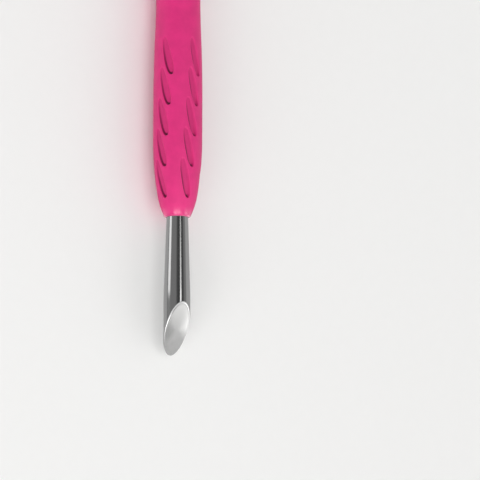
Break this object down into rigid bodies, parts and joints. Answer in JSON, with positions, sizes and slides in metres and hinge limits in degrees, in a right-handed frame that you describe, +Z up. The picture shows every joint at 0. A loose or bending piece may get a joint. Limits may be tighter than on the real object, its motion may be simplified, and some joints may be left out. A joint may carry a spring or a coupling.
{
  "type": "spudger",
  "caption": "Pen-shaped hand pry tool: polished steel rod ground to an oblique oval face, in a soft round handle with leaf-shaped finger recesses.",
  "frame": {"origin": "middle of the tool's length and width, on the surface that it lies on", "axes": "+X along the tool from the butt cap to the tip, +Z up, away from the surface; the working face looks up and forward"},
  "size_m": [0.1454, 0.012, 0.012],
  "materials": {
    "blade_steel": "polished round shaft with a satin ground face",
    "grip_rubber": "soft pink, satin",
    "core_plastic": "dark grey moulding",
    "cap_plastic": "pink moulding, fine spark texture"
  },
  "bodies": {
    "root": {"spudger_blade": "blade_steel", "grip_sleeve": "grip_rubber", "handle_core": "core_plastic", "butt_cap": "cap_plastic"}
  },
  "joints": []
}
